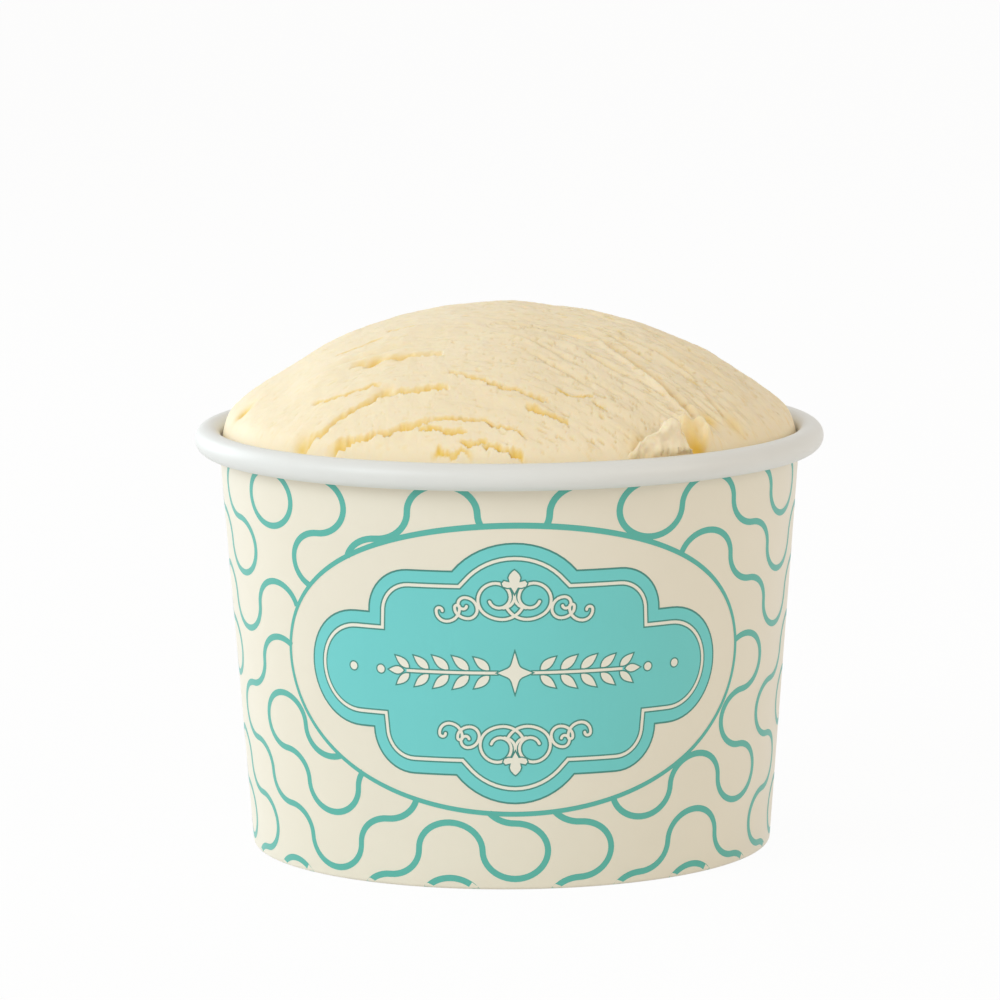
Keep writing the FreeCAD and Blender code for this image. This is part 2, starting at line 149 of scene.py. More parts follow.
def besideWall(out, height):
    fromHem = hemCentre + outOfWall * out
    return (fromHem + upWall * ((height - fromHem.y) / upWall.y)).x


def turnPoints(centre, radius, start, end, steps):
    # points on an arc, in degrees, ends included
    angles = [math.radians(start + (end - start) * i / steps) for i in range(steps + 1)]
    return [centre + Vector((math.cos(a), math.sin(a))) * radius for a in angles]


# the wall is one strip of board turned round the axis, from its tucked hem to its curl
def wallPath():
    leanDegrees = math.degrees(lean)
    coil = tub["roll"] - 2 * tub["board"] - tub["curlGap"]
    coilCentre = rollCentre - Vector((0, tub["curlGap"] + tub["board"]))
    tailCentre = coilCentre - Vector((coil - tub["tail"], 0))
    tuckFoot = hemInner - outOfWall * tub["hemCorner"]
    tuckLength = tub["recess"] - tub["hemCorner"] - tub["tuckGap"]
    path = [tuckFoot + upWall * tuckLength * share for share in (1, 0.5)]
    path += turnPoints(hemInner, tub["hemCorner"], 180 - leanDegrees, 270, 6)
    path += turnPoints(hemCentre, tub["hemCorner"], 270, 360 - leanDegrees, 6)
    wallTop = rollCentre - outOfWall * (tub["roll"] - tub["board"])
    wallFoot = path[-1]
    path += [wallFoot.lerp(wallTop, i / 16) for i in range(1, 16)]
    path += turnPoints(rollCentre, tub["roll"] - tub["board"], 180 - leanDegrees, -90, 30)
    path += turnPoints(coilCentre, coil, 270, 180, 8)[1:]
    path += turnPoints(tailCentre, tub["tail"], 180, 90, 6)[1:]
    return path


def lathe(path, around):
    first = path[0]
    clearSelection()
    bpy.ops.mesh.primitive_circle_add(vertices=around, radius=first.x * mm, location=(0, 0, first.y * mm))
    piece = bpy.context.object
    bpy.ops.object.mode_set(mode="EDIT")
    bpy.ops.mesh.select_all(action="SELECT")
    for here, there in zip(path, path[1:]):
        bpy.ops.mesh.extrude_region_move(TRANSFORM_OT_translate={"value": (0, 0, (there.y - here.y) * mm)})
        bpy.ops.transform.resize(value=(there.x / here.x, there.x / here.x, 1))
    bpy.ops.object.mode_set(mode="OBJECT")
    return piece


def faceOut(piece, height):
    # turns the whole skin over if the face at this height looks at the axis
    face = min(piece.data.polygons, key=lambda p: abs(p.center.z - height * mm))
    if face.normal.x * face.center.x + face.normal.y * face.center.y < 0:
        editAll(piece)
        bpy.ops.mesh.flip_normals()
        bpy.ops.object.mode_set(mode="OBJECT")


def thicken(piece, thickness, materialStep=0):
    makeActive(piece)
    solid = piece.modifiers.new("board", "SOLIDIFY")
    solid.thickness = thickness * mm
    solid.offset = -1
    solid.use_even_offset = True
    solid.material_offset = materialStep
    solid.material_offset_rim = materialStep
    bpy.ops.object.modifier_apply(modifier=solid.name)


def buildWall(outside, inside):
    wall = settle(lathe(wallPath(), tub["around"]), "paperWall")
    faceOut(wall, 30)
    wall.data.materials.append(outside)
    wall.data.materials.append(inside)
    thicken(wall, tub["board"], 1)
    makeActive(wall)
    bpy.ops.object.shade_smooth_by_angle(angle=math.radians(40))
    return wall


def buildLap(outside):
    # the wall's outer edge laid over the inner one, up the back
    low = tub["hemCorner"] + tub["board"]
    high = underRoll - tub["lapEnd"]
    clearSelection()
    bpy.ops.mesh.primitive_grid_add(x_subdivisions=12, y_subdivisions=8, size=2)
    lap = bpy.context.object
    for vertex in lap.data.vertices:
        height = low + (high - low) * (vertex.co.y + 1) / 2
        turn = halfLap * vertex.co.x
        out = besideWall(tub["hemCorner"] + tub["lapStep"], height) * mm
        vertex.co = (-out * math.sin(turn), out * math.cos(turn), height * mm)
    settle(lap, "wallLap")
    faceOut(lap, 30)
    lap.data.materials.append(outside)
    thicken(lap, tub["lapStep"] + tub["board"] / 2)
    edge = lap.modifiers.new("pressed", "BEVEL")
    edge.width = tub["lapBevel"] * mm
    edge.segments = 2
    edge.limit_method = "ANGLE"
    bpy.ops.object.modifier_apply(modifier=edge.name)
    bpy.ops.object.shade_smooth_by_angle(angle=math.radians(40))
    return lap


# the print is flat shapes in mm, wrapped on to the wall
midRadius = 42.46          # where the print's width is its real width
printSizes = {
    "columns": 26,         # tiles of the winding pattern round the tub
    "tileHeight": 8.57,
    "frontColumn": 6,      # the column that stands at firstColumn
    "firstColumn": 5.6,
    "firstRow": 1.7,
    "line": 0.98,          # width of the winding line
    "lift": 0.012,         # one coat of ink, thick enough not to sink into the board
    "climb": 0.04,         # width of the print's step up on to the lap
    "top": 0.3,            # how far the winding lines go up under the roll
    "bottom": 0.12,        # and how far over the floor they start
    "ovalWide": 38.35,
    "ovalHigh": 22.0,
    "ovalMiddle": 33.7,
    "ovalSide": 0.6, "ovalTop": 0.92, "ovalFoot": 0.76,    # the oval's line swells over its top
    "centreAcross": 0.55,
    "centreHigh": 33.35,
}


# how many coats of ink over the board each print starts
coats = {"meander": 1, "oval": 2, "panel": 2.5, "stems": 3.3, "scrolls": 3.5, "leaves": 4, "buds": 6.6}


def wallRadius(height):
    if height < tub["hemCorner"]:
        drop = tub["hemCorner"] - height
        return hemCentre.x + math.sqrt(max(tub["hemCorner"] ** 2 - drop ** 2, 0))
    return besideWall(tub["hemCorner"], height)


def wrapOnWall(piece, layers):
    for vertex in piece.data.vertices:
        turn = vertex.co.x / midRadius
        high = vertex.co.y
        lift = printSizes["lift"] * (layers + vertex.co.z)
        fromSeam = abs(abs(turn) - math.pi)
        if high > tub["hemCorner"] + tub["board"]:
            onLap = (halfLap - fromSeam) * midRadius / printSizes["climb"] + 1
            lift += tub["lapStep"] * min(1, max(0, onLap))
        out = wallRadius(high) + lift
        vertex.co = (out * math.sin(turn) * mm, -out * math.cos(turn) * mm, high * mm)
    piece.data.update()
    return piece


def flatMesh(name, points, faces, materials, slots=None):
    mesh = bpy.data.meshes.new(name)
    mesh.from_pydata([(x, y, z) for x, y, z in points], [], faces)
    piece = bpy.data.objects.new(name, mesh)
    bpy.context.collection.objects.link(piece)
    for material in materials:
        mesh.materials.append(material)
    if slots:
        mesh.polygons.foreach_set("material_index", slots)
    return piece


def ribbon(path, width, layer=0, square=False):
    # a flat line of even width along a list of points; square ends lie along x or y and meet
    # without a gap
    points = []
    for i, here in enumerate(path):
        before = path[max(i - 1, 0)]
        after = path[min(i + 1, len(path) - 1)]
        along = (after - before).normalized()
        if square and i in (0, len(path) - 1):
            along = Vector((round(along.x), round(along.y)))
        side = Vector((-along.y, along.x)) * width / 2
        points += [(here.x - side.x, here.y - side.y, layer), (here.x + side.x, here.y + side.y, layer)]
    faces = [(2 * i, 2 * i + 2, 2 * i + 3, 2 * i + 1) for i in range(len(path) - 1)]
    return points, faces


def gather(shapes):
    points, faces = [], []
    for somePoints, someFaces in shapes:
        start = len(points)
        points += somePoints
        faces += [tuple(start + i for i in face) for face in someFaces]
    return points, faces


# Each tile joins the middles of its sides by two quarter turns: u turns its left side's
# line up, d turns it down. The rows run from under the rim to the hem, and each goes round twice.
tileRows = [
    "uudduduuudddu",
    "dduuudududdud",
    "duduudduudduu",
    "dudduuduuudud",
    "uudududduuuud",
    "dddududuudddu",
    "ddduuddduduud",
    "uuduuduuudddd",
]


def insideOval(x, y):
    across = (x - printSizes["centreAcross"]) / printSizes["ovalWide"]
    high = (y - printSizes["ovalMiddle"]) / printSizes["ovalHigh"]
    return across ** 2 + high ** 2 < 1


def cutFlat(piece, point, normal, drop=True):
    # cuts a flat piece along a line, and drops what lies beyond if drop is set
    editAll(piece)
    bpy.ops.mesh.bisect(plane_co=point, plane_no=normal, clear_outer=drop)
    bpy.ops.object.mode_set(mode="OBJECT")


def buildMeander(ink):
    wide = 2 * math.pi * midRadius / printSizes["columns"]
    high = printSizes["tileHeight"]
    steps = 12
    angles = [math.pi / 2 * i / steps for i in range(steps + 1)]
    quarter = [Vector((math.cos(a) * wide / 2, math.sin(a) * high / 2)) for a in angles]
    shapes = []
    for row, letters in enumerate(reversed(tileRows)):
        for column in range(printSizes["columns"]):
            middle = Vector((printSizes["firstColumn"] + wide * (column - printSizes["frontColumn"]),
                             printSizes["firstRow"] + high * row))
            across = -1 if letters[column % len(letters)] == "u" else 1
            for side in (1, -1):
                corner = middle + Vector((across * wide / 2, high / 2)) * side
                path = [corner - Vector((p.x * across, p.y)) * side for p in quarter]
                shapes.append(ribbon(path, printSizes["line"], 0, True))
    points, faces = gather(shapes)
    kept = []
    for face in faces:
        x = sum(points[i][0] for i in face) / 4
        y = sum(points[i][1] for i in face) / 4
        if not insideOval(x, y):
            kept.append(face)
    meander = flatMesh("printMeander", points, kept, [ink])
    cutFlat(meander, (0, underRoll + printSizes["top"], 0), (0, 1, 0))
    cutFlat(meander, (0, printSizes["bottom"], 0), (0, -1, 0))
    half = halfLap * midRadius
    for edge in (-half - printSizes["climb"], -half, half, half + printSizes["climb"]):
        cutFlat(meander, (math.pi * midRadius + edge, 0, 0), (1, 0, 0), False)
    return wrapOnWall(meander, coats["meander"])


def buildOval(ink):
    steps = 240
    points = []
    for i in range(steps):
        a = 2 * math.pi * i / steps
        end = printSizes["ovalTop"] if math.sin(a) > 0 else printSizes["ovalFoot"]
        half = (printSizes["ovalSide"] + (end - printSizes["ovalSide"]) * math.sin(a) ** 2) / 2
        for out in (half, -half):
            points.append((printSizes["centreAcross"] + math.cos(a) * (printSizes["ovalWide"] + out),
                           printSizes["ovalMiddle"] + math.sin(a) * (printSizes["ovalHigh"] + out), 0))
    faces = [(2 * i, (2 * i + 2) % len(points), (2 * i + 3) % len(points), 2 * i + 1) for i in range(steps)]
    return wrapOnWall(flatMesh("printOval", points, faces, [ink]), coats["oval"])


# the panel inside the oval, in mm from its middle
panel = {
    "lobeRadius": 8.7, "lobeAcross": 24.5,
    "notchAcross": 22.3, "notchHigh": 8.92, "middle": 33.18,
    "cornerRadius": 6.6, "flatHigh": 15.65, "flatEnd": 9.1, "apexHigh": 19.95,
    "edge": 0.27, "border": 1.66, "lineEdge": 0.23, "line": 0.46,
    "strip": 1.4,          # width of the strips that bend it round the wall
}


def quarterOutline():
    # from the right end round to the top, relative to the panel's middle
    notch = Vector((panel["notchAcross"], panel["notchHigh"]))
    lobe = [Vector((panel["lobeAcross"] + math.cos(a) * panel["lobeRadius"], math.sin(a) * notch.y))
            for a in [math.pi / 2 * i / 14 for i in range(15)]]
    cornerTop = Vector((notch.x - panel["cornerRadius"], panel["flatHigh"]))
    corner = [Vector((cornerTop.x + math.cos(a) * panel["cornerRadius"],
                      notch.y + math.sin(a) * (panel["flatHigh"] - notch.y)))
              for a in [math.pi / 2 * i / 12 for i in range(13)]]
    flatEnd = Vector((panel["flatEnd"], panel["flatHigh"]))
    width = panel["flatEnd"]
    rise = panel["apexHigh"] - panel["flatHigh"]
    radius = (width ** 2 + rise ** 2) / (2 * rise)
    reach = math.asin(width / radius)
    crown = [Vector((radius * math.sin(reach * (1 - i / 8)), panel["apexHigh"] - radius
                     + radius * math.cos(reach * (1 - i / 8)))) for i in range(9)]
    return lobe + [notch] + corner[1:] + [flatEnd] + crown[1:]


def wholeOutline():
    quarter = quarterOutline()
    upper = quarter + [Vector((-p.x, p.y)) for p in reversed(quarter[:-1])]
    lower = [Vector((p.x, -p.y)) for p in reversed(upper[1:-1])]
    centre = Vector((printSizes["centreAcross"], panel["middle"]))
    return [centre + p for p in upper + lower]


def insetFace(piece, widths, slots):
    # each width sets the face in once more; the ring that is left gets the next material
    editAll(piece)
    for width, slot in zip(widths, slots):
        piece.active_material_index = slot
        bpy.ops.object.material_slot_assign()
        bpy.ops.mesh.inset(thickness=width, depth=0, use_even_offset=True)
    piece.active_material_index = slots[-1]
    bpy.ops.object.material_slot_assign()
    bpy.ops.object.mode_set(mode="OBJECT")


def cutUpright(piece, step):
    # upright cuts, so that a wide flat face can follow the round wall
    makeActive(piece)
    low = min(v.co.x for v in piece.data.vertices)
    high = max(v.co.x for v in piece.data.vertices)
    bpy.ops.object.mode_set(mode="EDIT")
    for i in range(1, int((high - low) / step)):
        bpy.ops.mesh.select_all(action="SELECT")
        bpy.ops.mesh.bisect(plane_co=(low + step * i, 0, 0), plane_no=(1, 0, 0))
    bpy.ops.object.mode_set(mode="OBJECT")


def buildPanel(field, edge, pale):
    outline = wholeOutline()
    points = [(p.x, p.y, 0) for p in outline]
    piece = flatMesh("printPanel", points, [tuple(range(len(outline)))], [edge, field, pale])
    insetFace(piece, [panel["edge"], panel["border"], panel["lineEdge"], panel["line"], panel["lineEdge"]],
              [0, 1, 0, 2, 0, 1])
    cutUpright(piece, panel["strip"])
    return wrapOnWall(piece, coats["panel"])


def turtle(start, heading, turns):
    # a line of arcs, each a radius in mm and a turn in degrees, left if positive; with a radius
    # of 0 it is a straight run, and the turn is its length
    path = [Vector(start)]
    for radius, turn in turns:
        rad = math.radians(heading)
        if radius == 0:
            path.append(path[-1] + Vector((math.cos(rad), math.sin(rad))) * turn)
            continue
        here = path[-1].copy()
        sign = 1 if turn > 0 else -1
        centre = here + Vector((-math.sin(rad), math.cos(rad))) * radius * sign
        steps = max(2, int(abs(turn) / 15), int(abs(turn) * radius / 25))
        for i in range(1, steps + 1):
            a = math.radians(heading + turn * i / steps)
            path.append(centre + Vector((math.sin(a), -math.cos(a))) * radius * sign)
        heading += turn
    return path


scroll = {"line": 0.42, "edge": 0.22, "foot": 8.15}
# half of a scroll, right of its middle and over its foot line: start, heading and turns
scrollLines = [
    ((1.8, 0.0), 0, [(4.2, 35), (2.6, 145), (2.1, 90), (1.65, 90), (1.45, 70)]),
    ((1.8, 0.0), 180, [(3.3, -66)]),
    ((0.0, 4.2), -90, [(0, 0.75), (1.7, 88)]),
    ((6.83, 0.1), 0, [(2.1, 50), (1.3, 45), (0.36, 170), (2.0, 95), (1.5, 95), (0.46, 175)]),
    ((6.83, 0.1), 180, [(1.4, -90), (1.8, -90), (1.0, -90), (0.75, -90), (0.5, -80)]),
]


def roundEnd(centre, radius, layer):
    points = [(centre.x + math.cos(a) * radius, centre.y + math.sin(a) * radius, layer)
              for a in [2 * math.pi * i / 12 for i in range(12)]]
    return points, [tuple(range(12))]


def buildScrolls(pale, edge):
    centre = Vector((printSizes["centreAcross"], printSizes["centreHigh"]))
    pieces = []
    for name, ink, extra, layer in (("scrollEdge", edge, scroll["edge"], 0), ("scrollLine", pale, 0, 1.5)):
        shapes = []
        for upright in (1, -1):
            for hand in (1, -1):
                for i, (start, heading, turns) in enumerate(scrollLines):
                    path = [centre + Vector((p.x * hand, (p.y + scroll["foot"]) * upright))
                            for p in turtle(start, heading, turns)]
                    width = scroll["line"] + 2 * extra
                    level = layer + 0.1 * i + (0.05 if hand > 0 else 0)
                    shapes.append(ribbon(path, width, level))
                    shapes.append(roundEnd(path[-1], width / 2, level + 0.6))
        points, faces = gather(shapes)
        pieces.append(wrapOnWall(flatMesh(name, points, faces, [ink]), coats["scrolls"]))
    return joinAll(pieces, "printScrolls")


def budOutline():
    # three petals over a stem, from the foot up the right side
    right = [(0.0, -0.6), (0.35, 0.1), (0.6, 0.55), (1.05, 0.5), (1.8, 0.75), (2.05, 1.4),
             (1.6, 1.95), (0.95, 1.8), (1.05, 2.25), (0.85, 2.8), (0.42, 3.3), (0.0, 3.6)]
    return right + [(-x, y) for x, y in reversed(right[1:-1])]


def leafOutline(length, width, turn):
    half = [(length * i / 8, width / 2 * math.sin(math.pi * (i / 8) ** 0.8)) for i in range(9)]
    whole = half + [(x, -y) for x, y in reversed(half[1:-1])]
    rad = math.radians(turn)
    return [(x * math.cos(rad) - y * math.sin(rad), x * math.sin(rad) + y * math.cos(rad)) for x, y in whole]


def starOutline(wide, high):
    # four points with hollow sides
    points = []
    for a, b in (((1, 0), (0, 1)), ((0, 1), (-1, 0)), ((-1, 0), (0, -1)), ((0, -1), (1, 0))):
        for i in range(8):
            s = i / 8
            pull = 1 - spray["starHollow"] * math.sin(math.pi * s)
            across, up = [a[k] * (1 - s) + b[k] * s for k in (0, 1)]
            points.append((across * pull * wide / 2, up * pull * high / 2))
    return points


def circleOutline(radius):
    return [(radius * math.cos(a), radius * math.sin(a)) for a in [2 * math.pi * i / 24 for i in range(24)]]


def inkShape(outline, place, pale, edge, rim, mirror=(1, 1)):
    points = [(place[0] + x * mirror[0], place[1] + y * mirror[1], 0) for x, y in outline]
    if mirror[0] * mirror[1] < 0:
        points.reverse()
    piece = flatMesh("inkShape", points, [tuple(range(len(points)))], [edge, pale])
    insetFace(piece, [rim], [0, 1])
    return piece


spray = {
    "stemStart": 3.6, "stemEnd": 18.4, "stemFoot": 2.4, "stemLength": 14, "stemLine": 0.42,
    "pairs": 5, "leaf": 3.9, "leafWide": 1.75, "tilt": 40, "tipLeaf": (3.0, 1.5),
    "rim": 0.2,            # the dark edge round each leaf, bud, dot and star
    "star": (6.0, 7.4), "starHollow": 0.42,
    "dot": 0.8, "dotAcross": 20.6, "outerDotAcross": 25.3, "budUp": 4.1,
}


def buildOrnaments(pale, edge):
    across, high = printSizes["centreAcross"], printSizes["centreHigh"]
    rim = spray["rim"]
    pieces = []
    for upright in (1, -1):
        place = (across, high + (scroll["foot"] + spray["budUp"]) * upright)
        pieces.append(inkShape(budOutline(), place, pale, edge, rim, (1, upright)))
    buds = list(pieces)
    for hand in (1, -1):
        dot = circleOutline(spray["dot"])
        pieces.append(inkShape(dot, (across + spray["outerDotAcross"] * hand, high + 0.1), pale, edge, rim))
        pieces.append(inkShape(dot, (across + spray["dotAcross"] * hand, high), pale, edge, rim))
        for i in range(spray["pairs"]):
            share = i / (spray["pairs"] - 1)
            foot = spray["stemStart"] + (spray["stemEnd"] - spray["stemStart"] - 2.6) * share
            size = 1 - 0.22 * abs(share - 0.35)
            for side in (1, -1):
                leaf = leafOutline(spray["leaf"] * size, spray["leafWide"] * size, spray["tilt"])
                place = (across + foot * hand, high + 0.28 * side)
                pieces.append(inkShape(leaf, place, pale, edge, rim, (hand, side)))
        tip = leafOutline(*spray["tipLeaf"], 0)
        place = (across + (spray["stemEnd"] - 1.8) * hand, high)
        pieces.append(inkShape(tip, place, pale, edge, rim, (hand, 1)))
    pieces.append(inkShape(starOutline(*spray["star"]), (across, high), pale, edge, rim))
    for i, piece in enumerate(pieces):
        wrapOnWall(piece, coats["buds"] if piece in buds else coats["leaves"] + 0.15 * (i % 7))
    lines = []
    for name, ink, extra, layer in (("stemEdge", edge, rim, 0), ("stemLine", pale, 0, 0.5)):
        shapes = []
        for hand in (1, -1):
            path = [Vector((across + hand * (spray["stemFoot"] + spray["stemLength"] * i / 12), high))
                    for i in range(13)]
            shapes.append(ribbon(path, spray["stemLine"] + 2 * extra, layer))
        points, faces = gather(shapes)
        lines.append(wrapOnWall(flatMesh(name, points, faces, [ink]), coats["stems"]))
    return joinAll(pieces + lines, "printOrnaments")


def boardMaterial(name, colour, roughness, grain=0.35):
    # paperboard coated with plastic film, plain or printed: a soft sheen over a face that the
    # fibres leave faintly uneven, and a colour that is cloudy by a few parts in a hundred
    material, tree = newMaterial(name)
    place = addNode(tree, "ShaderNodeTexCoord")
    # single fibres are too fine to show, so the noise is drawn 1.2 mm wide, as clumps of them
    fibres = addNode(tree, "ShaderNodeTexNoise", {"Scale": 1 / (1.2 * mm), "Detail": 3.0, "Roughness": 0.6},
                     {"Vector": place.outputs["Object"]})
    cloud = addNode(tree, "ShaderNodeTexNoise", {"Scale": 1 / (9 * mm), "Detail": 2.0},
                    {"Vector": place.outputs["Object"]})
    tint = addNode(tree, "ShaderNodeMix", data_type="RGBA")
    tint.inputs["A"].default_value = [c * 0.965 for c in colour[:3]] + [1]
    tint.inputs["B"].default_value = colour
    tree.links.new(cloud.outputs["Fac"], tint.inputs["Factor"])
    bump = addNode(tree, "ShaderNodeBump", {"Strength": grain, "Distance": 0.02 * mm},
                   {"Height": fibres.outputs["Fac"]})
    shader = addNode(tree, "ShaderNodeBsdfPrincipled", {"Roughness": roughness, "IOR": 1.5})
    tree.links.new(tint.outputs["Result"], shader.inputs["Base Color"])
    tree.links.new(bump.outputs["Normal"], shader.inputs["Normal"])
    finishMaterial(tree, shader.outputs["BSDF"])
    return material


def iceCreamMaterial():
    # churned cream: pale and slightly see-through, with a deeper yellow painted down in its cracks as their
    # warm shade
    material, tree = newMaterial("churnedVanillaCream")
    place = addNode(tree, "ShaderNodeTexCoord")
    # painted shade: cracks, hollows, torn spots, pores and the flake's foot are mixed towards a deeper
    # yellow
    depth = addNode(tree, "ShaderNodeAttribute", attribute_name="paintedShade")
    # ice crystals are far finer than this; 0.9 mm is as coarse as they need to be to show
    crystals = addNode(tree, "ShaderNodeTexNoise",
                       {"Scale": 1 / (0.9 * mm), "Detail": 4.0, "Roughness": 0.65},
                       {"Vector": place.outputs["Object"]})
    cloud = addNode(tree, "ShaderNodeTexNoise", {"Scale": 1 / (14 * mm), "Detail": 2.0},
                    {"Vector": place.outputs["Object"]})
    body = addNode(tree, "ShaderNodeMix", data_type="RGBA")
    body.inputs["A"].default_value = srgb("#F2E1BE")
    body.inputs["B"].default_value = srgb("#F8EACD")
    tree.links.new(cloud.outputs["Fac"], body.inputs["Factor"])
    deep = addNode(tree, "ShaderNodeMix", data_type="RGBA")
    deep.inputs["B"].default_value = srgb("#F0C954")
    tree.links.new(body.outputs["Result"], deep.inputs["A"])
    tree.links.new(depth.outputs["Fac"], deep.inputs["Factor"])
    bump = addNode(tree, "ShaderNodeBump", {"Strength": 0.5, "Distance": 0.12 * mm},
                   {"Height": crystals.outputs["Fac"]})
    shader = addNode(tree, "ShaderNodeBsdfPrincipled", {
        "Roughness": 0.55, "IOR": 1.38, "Subsurface Weight": 0.25, "Subsurface Scale": 0.9 * mm,
        "Subsurface Radius": (1.0, 0.7, 0.35), "Specular IOR Level": 0.5})
    tree.links.new(deep.outputs["Result"], shader.inputs["Base Color"])
    tree.links.new(bump.outputs["Normal"], shader.inputs["Normal"])
    finishMaterial(tree, shader.outputs["BSDF"])
    return material


# the mound's dome in mm, and how finely its net is drawn
mound = {
    "rise": 20.35, "overreach": 1.714, "power": 0.79,      # the dome over the roll's centre
    "fillLine": 0.3, "shoulder": 1.9,                      # where it meets the wall, and its turn there
    "slope": 0.3, "swing": 0.004,                          # how the drag lines run
    "cells": 300, "towardsFront": 0.4,
    "edgeFade": 0.9,       # the relief fades out this near the wall
    "wallSteps": (60, 40, 20),                             # heights of its hidden part's rings
}
fillHeight = rollCentre.y + mound["fillLine"]
fillOut = tub["hemCorner"] - tub["board"] - tub["fillGap"]
fillRadius = besideWall(fillOut, fillHeight)

# Drag lines run across the mound from left to right and swing to the front; a line's number is
# how far in front of the middle it crosses. A crack is a ledge along one of them, where a layer
# dips and tears off behind the one in front: both ends across, the line's number at each end,
# how far its middle bows forwards, its depth and how wide the dip is.
cracks = [
    (-33.0, -19.8, 37.6, 34.7, 0.7, 1.35, 1.7),
    (-21.0, -9.0, 34.4, 34.7, 0.2, 1.25, 1.5),
    (-27.6, -11.5, 40.0, 41.0, 1.3, 1.2, 1.4),
    (-12.0, 2.8, 41.1, 41.4, -1.0, 1.0, 0.75),
    (-13.5, -6.2, 42.0, 42.8, 0.0, 0.6, 0.8),
    (-9.0, 6.0, 30.4, 33.3, 1.2, 1.1, 0.9),
    (2.4, 8.8, 36.2, 35.7, 0.0, 0.9, 1.1),
    (-29.5, -19.0, 29.6, 31.4, 0.9, 0.9, 1.1),
    (-24.0, -10.0, 24.1, 25.4, 0.5, 1.6, 2.2),
    (-26.5, -19.0, 16.4, 15.7, 0.6, 0.5, 0.9),
    (-18.4, -13.6, 13.2, 13.5, 0.0, 0.5, 0.9),
    (-11.8, -5.2, 45.4, 45.0, -0.2, 0.45, 0.5),
    (-7.4, -3.2, 43.9, 43.3, 0.1, 0.6, 0.7),
    (-4.2, 5.2, 44.2, 43.4, -0.3, 0.8, 0.6),
    (7.0, 12.6, 30.3, 28.0, 0.3, 0.35, 0.4),
    (12.3, 14.6, 29.3, 29.7, 0.0, 0.35, 0.4),
]
# soft furrows of the scoop, on the same drag lines
furrows = [
    (13.0, 29.0, 10.6, 18.0, 1.2, 1.4, 1.9),
    (16.5, 28.4, 5.2, 5.7, 0.1, 0.95, 1.5),
    (12.0, 21.5, 6.0, 10.0, 0.2, 0.6, 1.2),
    (20.5, 30.5, -6.0, -8.9, 0.0, 0.55, 1.2),
    (27.0, 33.5, -6.8, -3.4, 0.0, 0.5, 1.0),
    (25.6, 32.4, 7.4, 11.2, 0.0, 0.6, 1.2),
    (10.0, 21.0, 17.4, 18.3, 0.8, 0.5, 1.0),
    (2.0, 13.0, 22.2, 26.3, 0.4, 0.45, 1.0),
    (5.5, 20.8, 13.0, 13.2, -2.2, 0.4, 1.3),
    (-2.0, 13.0, 14.2, 12.6, -0.2, 0.65, 1.3),
    (0.0, 13.5, 18.0, 23.0, 0.0, 0.35, 1.1),
    (-6.0, 9.0, 8.0, 7.0, 0.0, 0.35, 1.2),
    (2.0, 20.0, 3.0, 3.6, 0.0, 0.35, 1.3),
    (-30.0, -12.0, 20.6, 21.0, 0.4, 0.3, 1.4),
    (10.0, 17.0, 24.5, 25.0, 0.0, 0.3, 0.9),
    (22.0, 34.0, -1.0, -2.0, 0.4, 0.4, 1.4),
]
# hollows: place, radius and depth
hollows = [
    (27.8, -32.8, 1.9, 2.3), (-40.4, -9.0, 1.2, 0.9), (20.6, -39.5, 2.2, 0.7), (33.6, -24.6, 1.6, 0.4),
    (30.6, -34.0, 1.3, 0.7), (29.9, -27.2, 1.2, 0.6), (-31.5, -30.9, 1.4, 1.5),
    (-20.2, -19.5, 1.3, 1.2), (-16.1, -21.0, 1.2, 0.7), (-18.6, -29.3, 1.1, 0.7),
]
# folds: both ends, height and half width
folds = [
    (25.6, -31.8, 29.4, -29.6, 1.5, 0.6), (28.5, -29.4, 31.2, -34.0, 1.9, 0.7),
    (30.2, -31.2, 35.8, -28.4, 0.9, 0.8), (26.2, -27.6, 28.8, -26.4, 0.6, 0.5),
]
# lumps beside the flake: place and reach
tornPlace = (28.0, -32.0, 5.5)


def dome(radius):
    share = (min(radius, fillRadius) / (fillRadius + mound["overreach"])) ** 2
    return rollCentre.y + mound["rise"] * (1 - share) ** mound["power"]


def moundHeight(radius):
    turned = max(0, 1 - (fillRadius - radius) / mound["shoulder"])
    return dome(radius) - (dome(fillRadius) - fillHeight) * turned ** 3


def alongLap(across, line, lap, seed, ragged):
    # how far along a crack or furrow and how far behind its ragged edge a place lies
    start, end, lineStart, lineEnd, bow = lap[:5]
    along = (across - start) / (end - start)
    if not 0 < along < 1:
        return None
    wander = 0.42 * noise.noise((across * 0.42, seed * 9.1, 0))
    wander += 0.3 * noise.noise((across * 1.2, line * 0.9, seed))
    wander += 0.13 * noise.noise((across * 2.7, line * 2.3, seed + 4))
    ledge = lineStart + (lineEnd - lineStart) * along + bow * 4 * along * (1 - along) + wander * ragged
    return along, ledge - line


crack = {
    "ragged": 1.5, "depth": 1.4, "width": 0.85,
    "edge": 0.25,          # width of the step down behind the ledge
    "lip": 0.3, "lipReach": 1.3,                           # the ledge is lifted in front of it
    # tint is how strong the painted shade in the dip is
    "leastOpen": 0.35, "tint": 1.6,
}


def crackShape(across, line, lap, seed):
    # its change of height, and how deep a yellow of painted shade it has down behind the ledge
    depth = lap[5]
    width = crack["width"] * lap[6]
    found = alongLap(across, line, lap, seed, crack["ragged"])
    if not found or not -3 < found[1] < width + 0.4:
        return 0, 0
    along, behind = found
    ragged = 0.85 + 0.9 * noise.noise((across * 0.55, seed * 3.7, 2))
    opening = math.sin(math.pi * along) ** 0.4 * max(crack["leastOpen"], ragged)
    if behind < 0:
        return crack["lip"] * depth * opening * math.exp(behind / crack["lipReach"]), 0
    tint = min(1, crack["tint"] * opening)
    if behind < crack["edge"]:
        share = behind / crack["edge"]
        return -crack["depth"] * depth * opening * behind / crack["edge"], share * tint
    down = 1 - (behind - crack["edge"]) / width
    if down < 0:
        return 0, 0
    return -crack["depth"] * depth * opening * down ** 1.6, tint * down ** 0.55


